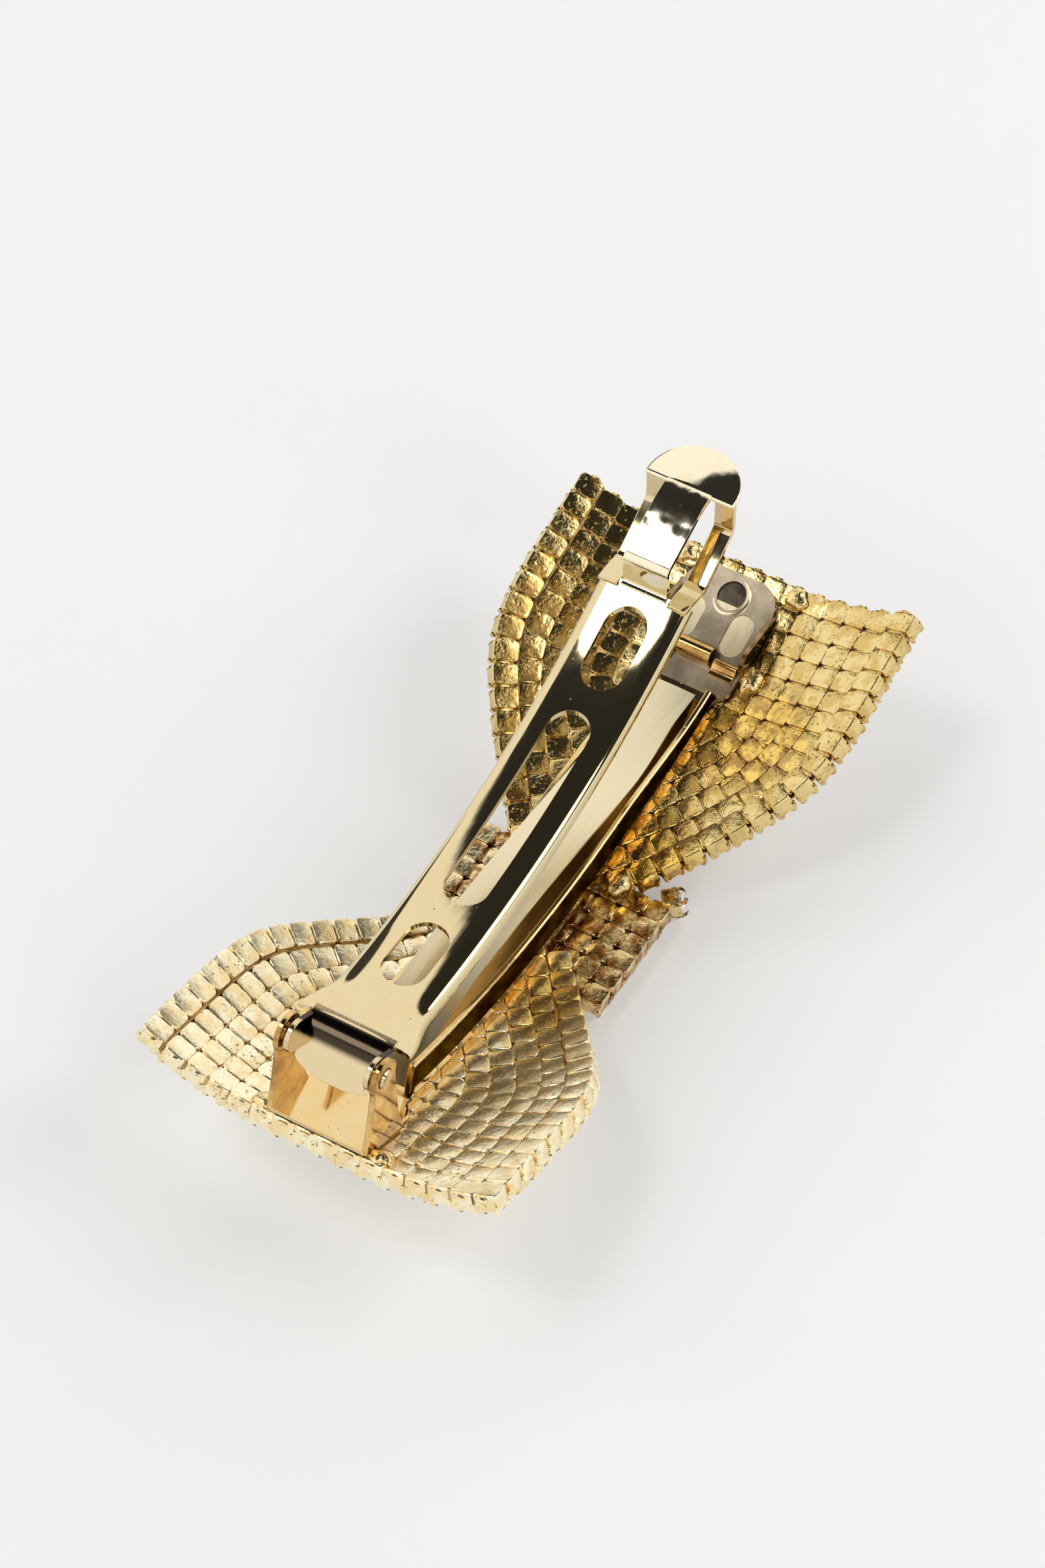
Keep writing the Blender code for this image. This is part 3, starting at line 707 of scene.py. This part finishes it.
BACKING_HALF, BACKING_DROP = 4.4, 0.14
LEVER_HALF, LEVER_BOW, SLOT_WIDTH = 5.0, 82.3, 4.6
SLOTS = ((0.124, 0.279), (0.335, 0.765), (0.812, 0.966))    # shares of the web's length
CHEEK_HALF = EAR_HALF - SHEET - 0.3
TONGUE_BEND = 3.6


def channel_height(x):
    """Height of the flanges: lower toward the catch, and cut down at both ends."""
    fall = smooth((x - 8.0) / 20.0)
    ends = min(x - CHANNEL_START, CHANNEL_STOP - x)
    return SHEET + (FLANGE_RISE - FLANGE_FALL * fall - SHEET) * min(1.0, 0.25 + ends * 0.75)


def channel_section(x):
    """The bent sheet's section: floor, rounded bends and upright flanges, slightly splayed."""
    low, height = floor_z(x), channel_height(x)
    splay, edge = 0.02, 0.12
    bend = min(1.0, height * 0.6)
    right = arc((CHANNEL_HALF - bend, low + bend), bend, -90, 0, 6)
    right += [(CHANNEL_HALF + splay, low + height - 0.1), (CHANNEL_HALF - edge, low + height),
              (CHANNEL_HALF - SHEET + edge, low + height), (CHANNEL_HALF - SHEET, low + height - 0.1)]
    inner = max(0.15, bend - SHEET)
    right += arc((CHANNEL_HALF - SHEET - inner, low + SHEET + inner), inner, 0, -90, 6)
    return [(x, y, z) for y, z in right + [(-y, z) for y, z in reversed(right)]]


def plate_half_width(x):
    """Half width of the catch plate, whose corners are rounded off."""
    corner = 3.0
    past = max(0.0, x - (HALF_LENGTH - 1.5 * corner))
    return EAR_HALF - 0.3 - (corner - math.sqrt(max(0.0, corner ** 2 - past ** 2)))


def foot_half_width(x):
    return FOOT_HALF - (FOOT_HALF - NECK_HALF) * smooth((x - CHANNEL_START + 2.0) / NECK_RUN)


def tail_half_width(x):
    widening = (FOOT_HALF - NECK_HALF) * smooth((x - CHANNEL_STOP + 1.0) / NECK_RUN)
    return min(plate_half_width(x), NECK_HALF + widening)


def on_side(side, inner, outer):
    """The stretch of y between two half widths on one side, lower end first."""
    return sorted((side * inner, side * outer))


def flat_run(skin, start, stop, steps, width, drop):
    """Flat sheet that follows the floor, as wide at each x as the width function says."""
    rings = []
    for x in span(start, stop, steps):
        half, low = width(x), floor_z(x) - drop
        places = (-half, -half / 3, half / 3, half)
        rings.append([(x, y, low) for y in places] + [(x, y, low + SHEET) for y in reversed(places)])
    skin.loops(rings)


def channel():
    """The base's floor and flanges in one bent sheet; a near-black skin over the flanges' outsides is
    painted dark reflection.
    """
    sheet, painted_dark_skin = Skin(), Skin()
    places = span(CHANNEL_START, CHANNEL_STOP, 60)
    sheet.loops([channel_section(x) for x in places])
    base_piece("barrette_channel", sheet, PLATE_GOLD, ["base_plate"], bevel=0.05)
    # painted dark reflection: a near-black skin laid over each flange's outside
    inside, foot, lip = CHANNEL_HALF - 0.2, CHANNEL_HALF + 0.04, CHANNEL_HALF + 0.045
    for side in (-1, 1):
        rings = []
        for x in places:
            low = floor_z(x) + 0.35 * channel_height(x)
            high = floor_z(x) + channel_height(x) - 0.35
            rings.append([(x, side * foot, low), (x, side * lip, high),
                          (x, side * inside, high), (x, side * inside, low)])
        painted_dark_skin.loops(rings)
    base_piece("channel_flange_painted_reflection", painted_dark_skin, PAINTED_DARK_GOLD)


def ear_outline():
    """A hinge ear from the side: wide foot, narrow waist and a round head about the pin."""
    narrowing, waist, bend = 0.9, 3.0, 1.6
    foot = span(-HALF_LENGTH, FOOT_RUN - HALF_LENGTH, 6)
    back, front = foot[0], foot[-1]
    outline = [(x, floor_z(x) + 0.1) for x in foot]
    outline += rounded([(front, floor_z(front) + SHEET), (front - narrowing, floor_z(front) + waist),
                        on_circle(PIVOT, EAR_RADIUS, -25)], bend, 5)[1:]
    outline += arc(PIVOT, EAR_RADIUS, -20, 200, 30)
    outline += rounded([on_circle(PIVOT, EAR_RADIUS, 205), (back + narrowing, floor_z(back) + waist),
                        (back, floor_z(back) + SHEET)], bend, 5)[:-1]
    return outline


def hinge_end():
    """Foot plate and the two ears that carry the lever's pins."""
    foot_plate = Skin()
    flat_run(foot_plate, -HALF_LENGTH, CHANNEL_START + 1.5, 16, foot_half_width, LAP)
    base_piece("hinge_foot_plate", foot_plate, PLATE_GOLD, bevel=0.08)
    eyes = Skin()
    side_prism(eyes, arc(PIVOT, EYE_RADIUS, 0, 350, 35), -9, 9)
    for side, side_name in SIDES:
        ear = Skin()
        side_prism(ear, ear_outline(), *on_side(side, EAR_HALF - SHEET, EAR_HALF))
        mesh = carve(ear.mesh("ear"), eyes.mesh("eyes"))
        piece(f"hinge_ear_{side_name}", mesh, "clip_base", [EAR_GOLD_PAINTED_REFLECTION], bevel=0.12)


def catch_plate():
    """Clouded plate, its dull brown tone a painted reflection, with two windows and a hole; bright metal
    under the windows and near-black discs of painted shade under the hole.
    """
    tail, cutter, backing, hole_painted_shade = Skin(), Skin(), Skin(), Skin()
    flat_run(tail, CHANNEL_STOP - 1.5, HALF_LENGTH - 1.55, 30, tail_half_width, LAP)
    for side in (-1, 1):
        flat_prism(cutter, obround(WINDOW_START, WINDOW_STOP, side * WINDOW_Y, WINDOW_WIDTH), 0, 40)
    flat_prism(cutter, arc(HOLE, HOLE_RADIUS, 0, 350, 35), 0, 40)
    mesh = carve(tail.mesh("tail"), cutter.mesh("windows"))
    piece("catch_plate", mesh, "clip_base", [CATCH_PLATE_GOLD_PAINTED_REFLECTION], bevel=0.09)
    flat_run(backing, WINDOW_START - 0.4, WINDOW_STOP + 0.4, 8, lambda x: BACKING_HALF, BACKING_DROP)
    base_piece("window_backing", backing, SPRING_GOLD)
    # painted shade: two near-black discs under the hole
    for shrink, drop in ((0.0, 0.32), (0.5, 0.42)):
        rim = arc(HOLE, HOLE_RADIUS + 0.05 - shrink, 0, 345, 23)
        hole_painted_shade.loops([[(x, y, floor_z(x) + SHEET - drop - h) for x, y in rim] for h in (0.0, 0.1)])
    base_piece("painted_shade_under_hole", hole_painted_shade, PAINTED_DARK_GOLD)


def embossed_crescent():
    """Crescent pressed up round the hole, thinning out at both ends."""
    crescent = Skin()
    steps, radius = 36, 1.85
    rings = []
    for i, turn in enumerate(span(120, 350, steps)):
        x, y = on_circle(HOLE, radius, turn)
        out_x, out_y = on_circle((0, 0), 1, turn)
        full = math.sin(math.pi * min(1, max(0.05, i / steps))) ** 0.6
        rings.append([(x + out_x * r * full, y + out_y * r * full, floor_z(x) + SHEET + h * full)
                      for r, h in ((-0.34, -0.1), (-0.2, 0.05), (0.0, 0.12), (0.2, 0.05), (0.34, -0.1))])
    crescent.loops(rings)
    base_piece("embossed_crescent", crescent, SPRING_GOLD)


def catch_ears():
    """Upright ears, one on each side of the lever's head when it is shut."""
    ears = Skin()
    length, top = 7.0, back_z(CATCH_X) + 3.5
    places = span(CATCH_X, CATCH_X + length, 14)
    outline = [(x, floor_z(x) + 0.15) for x in places]
    outline += [(x, max(top, floor_z(x) + SHEET + 0.05) - 0.5 * smooth((x - CATCH_X) / length - 0.5)
                 - 0.8 * smooth(1 - (x - CATCH_X) / 0.9)) for x in reversed(places)]
    for side in (-1, 1):
        side_prism(ears, outline, *on_side(side, EAR_HALF - SHEET, EAR_HALF))
    base_piece("catch_ears", ears, CATCH_EAR_GOLD_PAINTED_REFLECTION, bevel=0.1)


def curled_lobe():
    """Curled lobe that the lever's head snaps over, and a step in the plate on each side of it."""
    lobe = Skin()
    base = floor_z(CATCH_X) + SHEET / 2
    curl = [(CATCH_X - 0.1, base)] + arc((CATCH_X + 0.35, base + 1.05), 0.8, 215, -20, 16)
    side_prism(lobe, ribbon(curl, 0.42), -1.9, 1.9)
    step = rounded([(CATCH_X - 1.2, base), (CATCH_X - 0.5, base + 0.1), (CATCH_X + 0.1, base + 1.0),
                    (CATCH_X + 0.9, base + 0.25)], 0.4, 5)
    for side in (-1, 1):
        side_prism(lobe, ribbon(step, 0.36), *on_side(side, 2.2, 4.9))
    base_piece("curled_lobe", lobe, EAR_GOLD_PAINTED_REFLECTION, bevel=0.08)


def web_path():
    """The lever's bowed web from the side, from the hinge to the head."""
    start = Vector((HINGE_X + 3.5, PIVOT[1] + 0.4))
    stop = Vector((HALF_LENGTH - 21.9, PIVOT[1] + 9.0))
    chord = stop - start
    away = Vector((-chord.y, chord.x)).normalized()
    centre = (start + stop) / 2 + away * math.sqrt(LEVER_BOW ** 2 - (chord.length / 2) ** 2)
    first = math.degrees(math.atan2(start.y - centre.y, start.x - centre.x))
    last = math.degrees(math.atan2(stop.y - centre.y, stop.x - centre.x))
    return arc(centre, LEVER_BOW, first, last, 70)


def sheet_section(point, normal, half, lip, shoulder, crown):
    """Section of the lever's sheet: flat middle, rounded shoulders, turned-down sides."""
    tilt = 20
    flat_half = half - shoulder * (1 - math.sin(math.radians(tilt)))
    hub = (half - shoulder, -crown - shoulder * math.cos(math.radians(tilt)))
    turns = [math.radians(turn) for turn in span(tilt, 90, 9)]
    right = [(flat_half * k, -crown * k ** 4) for k in (0.2, 0.4, 0.55, 0.7, 0.8, 0.9)]
    right += [(hub[0] + shoulder * math.sin(a), hub[1] + shoulder * math.cos(a)) for a in turns]
    right += [(half, -lip), (half - SHEET * 0.8, -lip)]
    inner = max(0.1, shoulder - SHEET)
    right += [(hub[0] + inner * math.sin(a), hub[1] + inner * math.cos(a)) for a in reversed(turns[::3])]
    right += [(flat_half * k * 0.9, -SHEET - crown * k ** 4) for k in (0.8, 0.5, 0.2)]
    ring = right + [(-y, d) for y, d in reversed(right)]
    return [(point[0] + normal[0] * d, y, point[1] + normal[1] * d) for y, d in ring]


def lever_web(path):
    """Bowed web with rounded shoulders and three slots, widening at the hinge."""
    web, cutter = Skin(), Skin()
    start, end = path[0], path[-1]
    widening = 6.0
    rings = []
    for i, point in enumerate(path):
        ahead = Vector(path[min(i + 1, len(path) - 1)]) - Vector(path[max(i - 1, 0)])
        ahead.normalize()
        past = point[0] - start[0]
        near = 1 - smooth(past / widening)
        lip = 1.5 - 0.6 * near
        shoulder = min(1.1, (lip - 0.42) / 0.94)
        crown = 0.35 - 0.26 * smooth((past - widening) / 16.0)
        rings.append(sheet_section(point, (-ahead.y, ahead.x), LEVER_HALF + 1.3 * near,
                                   lip, shoulder, crown))
    web.loops(rings)
    length = end[0] - start[0]
    for first, last in SLOTS:
        slot = obround(start[0] + length * first, start[0] + length * last, 0, SLOT_WIDTH)
        flat_prism(cutter, slot, 10, 60)
    mesh = carve(web.mesh("web"), cutter.mesh("slots"))
    piece("lever_web", mesh, "lever", [LEVER_GOLD], ["lever"], bevel=0.12)


def tongue_path(start):
    """The lever's sheet from the side, bending down from the web to the tongue's tip."""
    path = [(start[0] + 0.7, start[1] - 0.33)]
    path += [(start[0] + 0.25 - TONGUE_BEND * math.sin(math.radians(a)),
              start[1] - 0.35 - TONGUE_BEND * (1 - math.cos(math.radians(a)))) for a in range(0, 51, 5)]
    return path + [(start[0] - 4.3, start[1] - 4.35)]


def lever_tongue(start):
    """Bend and tongue at the hinge, and the cheeks with the two pins in the ears' eyes."""
    tongue = Skin()
    path = tongue_path(start)
    tip, round_end = Vector(path[-1]), 1.6
    stations = [(Vector(point), (Vector(path[i + 1]) - Vector(path[max(i - 1, 0)])).normalized())
                for i, point in enumerate(path[:-1])]
    stations += [(tip.lerp(Vector(path[-2]), share), Vector((-0.7, -0.7)))
                 for share in (0.75, 0.55, 0.4, 0.28, 0.18, 0.1, 0.04, 0.0)]
    rings = []
    for point, ahead in stations:
        left = (tip - point).length
        half = (CHEEK_HALF - 0.15) * math.sqrt(max(0.02, 1 - max(0.0, 1 - left / round_end) ** 2))
        places = (-half, -half / 3, half / 3, half)
        normal = Vector((-ahead.y, ahead.x)) * -SHEET / 2
        rings.append([(point.x + normal.x, y, point.y + normal.y) for y in places]
                     + [(point.x - normal.x, y, point.y - normal.y) for y in reversed(places)])
    tongue.loops(rings)
    cheek = ([(start[0] + 0.3, start[1] - 0.4), (start[0] - 0.9, start[1] + 0.05)]
             + arc(PIVOT, 1.7, 60, 250, 18)
             + [(PIVOT[0] + 0.6, PIVOT[1] - 2.5), (PIVOT[0] + 1.6, PIVOT[1] - 2.1)])
    for side in (-1, 1):
        side_prism(tongue, cheek, *on_side(side, CHEEK_HALF - SHEET, CHEEK_HALF))
        pin = ((CHEEK_HALF - 0.3, PIN_RADIUS), (EAR_HALF + 0.05, PIN_RADIUS), (EAR_HALF + 0.25, 0.85),
               (EAR_HALF + 0.35, 0.5), (EAR_HALF + 0.37, 0.15))
        tongue.loops([[(x, side * out, z) for x, z in arc(PIVOT, radius, 0, 345, 23)]
                      for out, radius in pin])
    piece("lever_tongue", tongue.mesh("tongue"), "lever", [TONGUE_GOLD_WITH_PAINTED_BEND], bevel=0.1)


def lever_head(end):
    """Stepped head: a bridge in the middle, a rim on each side and the half-round finger tab."""
    head, rims = Skin(), Skin()
    end_x, end_z = end
    top, tab_x = end_z + 6.6, end_x + 8.9
    bridge = rounded([(end_x - 0.5, end_z - 0.3), (end_x + 0.15, end_z - 0.1), (end_x, end_z + 3.55),
                      (end_x + 6.6, top - 0.25), (end_x + 8.1, top), (end_x + 9.6, top)], 0.7, 6)
    side_prism(head, ribbon(bridge, SHEET), -2.5, 2.5)
    rim = rounded([(end_x - 0.8, end_z - 0.32), (end_x + 0.8, end_z - 0.32), (end_x + 3.1, end_z - 0.8),
                   (tab_x, end_z + 2.7), (tab_x, top - 0.05)], 0.7, 5)
    tab_half, back, slope = 4.95, 0.6, 0.085
    for side in (-1, 1):
        side_prism(rims, ribbon(rim, SHEET), *on_side(side, 2.8, tab_half))
    rings = []
    for shrink, height in ((0.25, -0.3), (0.0, -0.12), (0.0, 0.14), (0.12, 0.3), (0.3, 0.35)):
        outline = [(tab_x - back + shrink, -tab_half + shrink)]
        outline += arc((tab_x, 0), tab_half - shrink, -90, 90, 40)
        outline.append((tab_x - back + shrink, tab_half - shrink))
        rings.append([(x, y, top + height + slope * (x - tab_x)) for x, y in outline])
    head.loops(rings)
    piece("lever_head_rims", rims.mesh("rims"), "lever", [LEVER_GOLD], bevel=0.1)
    piece("lever_head", head.mesh("head"), "lever", [HEAD_GOLD_PAINTED_LIGHT], bevel=0.1)


def tension_spring():
    """Bowed leaf in the channel, steep toward the hinge, with one slot."""
    leaf, cutter = Skin(), Skin()
    seat, thickness, edge_fall = 0.7, 0.4, 0.06
    tail, nose = CHANNEL_START + 1.0, CHANNEL_STOP - 1.0
    crown = tail + (nose - tail) * 0.276
    crown_z = floor_z(0) + 8.8
    tail_z, nose_z = floor_z(tail) + SHEET + seat, floor_z(nose) + SHEET + seat
    rings = []
    for x in span(tail, nose, 70):
        if x < crown:
            z = crown_z - (crown_z - tail_z) * ((crown - x) / (crown - tail)) ** 3
        else:
            swing = math.cos(math.pi * (x - crown) / (nose - crown))
            z = (crown_z + nose_z) / 2 + (crown_z - nose_z) / 2 * swing
        half = 3.3 - 1.1 * smooth((x - 12.0) / 14.0)
        rings.append([(x, y, z - thickness) for y in (-half, -1.2, 1.2, half)]
                     + [(x, y, z - edge_fall * (abs(y) / half) ** 2)
                        for y in (half, 2.4, 1.2, 0, -1.2, -2.4, -half)])
    leaf.loops(rings)
    flat_prism(cutter, obround(tail + 3.5, crown - 4.5, 0, 2.0), 0, 40)
    mesh = carve(leaf.mesh("leaf"), cutter.mesh("slot"))
    piece("spring_leaf", mesh, "clip_base", [SPRING_GOLD], ["tension_spring"], bevel=0.06)


def solder_lump(name, centre, spread, height, seed, stands_for=()):
    """A frozen drop of solder, lying on the bow's back."""
    roll = random.Random(seed)
    normal = wing_normal(centre[0], centre[1])
    east = Vector((1, 0, 0)).cross(normal).cross(normal) * -1
    east.normalize()
    north = normal.cross(east)
    waves = [(roll.uniform(0.05, 0.16), k, roll.uniform(0, math.tau)) for k in (2, 3, 5)]
    base = Vector((centre[0], centre[1], wing_z(*centre)))
    skin = Skin()
    rings = []
    for level in range(8):
        t = math.radians(-25 + level * 15.5)
        middle = base + normal * height * (math.sin(t) + 0.1)
        ring = []
        for a in (math.tau * i / 24 for i in range(24)):
            wobble = 1 + sum(size * math.sin(k * a + phase) for size, k, phase in waves)
            out = east * math.cos(a) * spread[0] + north * math.sin(a) * spread[1]
            ring.append(middle + out * math.cos(t) * wobble)
        rings.append(ring)
    skin.loops(rings)
    piece(name, skin.mesh(name), "clip_base", [SOLDER], stands_for, smooth_angle=80)


def solder_joints():
    for end, end_name in ENDS:
        for side, side_name in SIDES:
            name = f"solder_{end_name}_{side_name}"
            centre = (end * (HALF_LENGTH - 1.2), side * (EAR_HALF + 0.9))
            solder_lump("joint_" + name, centre, (1.1, 1.3), 0.75, end * 7 + side * 3, [name])
    solder_lump("joint_catch_foot", (CATCH_X + 0.5, -6.3), (1.6, 1.1), 0.8, 5)
    solder_lump("joint_knot", (5.2, -6.1), (1.3, 1.0), 0.7, 9)


# ---------------------------------------------------------------- studio
def camera():
    lens = bpy.data.cameras.new("camera")
    lens.lens, lens.sensor_width, lens.sensor_fit = 123.2, 36.0, 'AUTO'
    lens.clip_start, lens.clip_end = 0.02, 20
    aim = Vector((0.5469, 0.3235, -0.7722))
    seat = bpy.data.objects.new("camera", lens)
    seat.location = Vector((-287.5, -167.9, 427.4)) * MM
    seat.rotation_mode = 'QUATERNION'
    seat.rotation_quaternion = aim.to_track_quat('-Z', 'Y')
    bpy.context.scene.collection.objects.link(seat)
    bpy.context.scene.camera = seat


def paper_sheet():
    """White paper sheet under the clip."""
    skin = Skin()
    count, reach, gap = 48, 3000, 0.05
    skin.add([(*on_circle((0, 0), reach, 360 * i / count), -gap) for i in range(count)],
             [tuple(range(count))])
    floor = bpy.data.objects.new("paper", skin.mesh("paper"))
    bpy.context.scene.collection.objects.link(floor)
    finish = Finish("white_paper", roughness=0.9, emission_color=(1, 1, 1, 1), emission_strength=0.17)
    grain = finish.noise(0.05, 2.0)
    finish.set("Base Color", finish.mixed(grain, (0.93, 0.93, 0.93, 1), (0.95, 0.95, 0.95, 1)))
    floor.data.materials.append(finish.material)


def tent_light():
    """White tent with a dark opening overhead, a dark side panel and two small lamps in it."""
    white_wall, dark_room, lamp_power, low_power = 1.12, 0.03, 5.0, 3.0
    world = bpy.data.worlds.new("tent")
    bpy.context.scene.world = world
    world.use_nodes = True
    tent = Bench(world.node_tree, "Generated")
    direction = tent.node("ShaderNodeVectorMath", {"operation": 'NORMALIZE'}, {0: tent.place})

    def toward(x, y, z):
        aim = Vector((x, y, z)).normalized()
        return tent.node("ShaderNodeVectorMath", {"operation": 'DOT_PRODUCT'},
                         {0: direction, 1: tuple(aim)}, "Value")
    ragged = tent.node("ShaderNodeTexNoise", {}, {"Vector": direction, "Scale": 9.0, "Detail": 5.0})
    opening = tent.between(toward(0.0, -0.42, 0.90) + (ragged - 0.5) * 0.06, 0.595, 0.632)
    lamp = tent.between(toward(-0.27, 0.35, 0.90) + (ragged - 0.5) * 0.006, 0.9900, 0.9925)
    side_panel = tent.between(toward(0.547, 0.70, 0.46), 0.972, 0.980)
    low_lamp = tent.between(toward(-0.35, -0.75, 0.56), 0.975, 0.982)
    walls = (1 - opening) * (1 - side_panel * 0.95) * white_wall
    glow = walls + opening * dark_room + lamp * lamp_power + low_lamp * low_power
    background = world.node_tree.nodes["Background"]
    background.inputs["Color"].default_value = (1.0, 0.995, 0.985, 1)
    world.node_tree.links.new(glow.socket, background.inputs["Strength"])


def soft_lamp(name, place, size, power):
    lamp = bpy.data.lights.new(name, 'AREA')
    lamp.shape, lamp.size, lamp.energy = 'DISK', size, power
    seat = bpy.data.objects.new(name, lamp)
    seat.location = Vector(place)
    seat.rotation_mode = 'QUATERNION'
    seat.rotation_quaternion = (-Vector(place)).to_track_quat('-Z', 'Y')
    bpy.context.scene.collection.objects.link(seat)


bpy.context.scene.view_settings.view_transform = 'Standard'
camera()
paper_sheet()
tent_light()
soft_lamp("side_lamp", (0.6, -0.9, 0.9), 0.9, 5.0)
for end, end_name in ENDS:
    for side, side_name in SIDES:
        for row in range(ROWS):
            wing_strand(end, end_name, side, side_name, row)
for index in range(KNOT_STRANDS):
    knot_strand(index)
corner_cup()
channel()
hinge_end()
catch_plate()
embossed_crescent()
catch_ears()
curled_lobe()
lever_path = web_path()
lever_web(lever_path)
lever_tongue(lever_path[0])
lever_head(lever_path[-1])
tension_spring()
solder_joints()
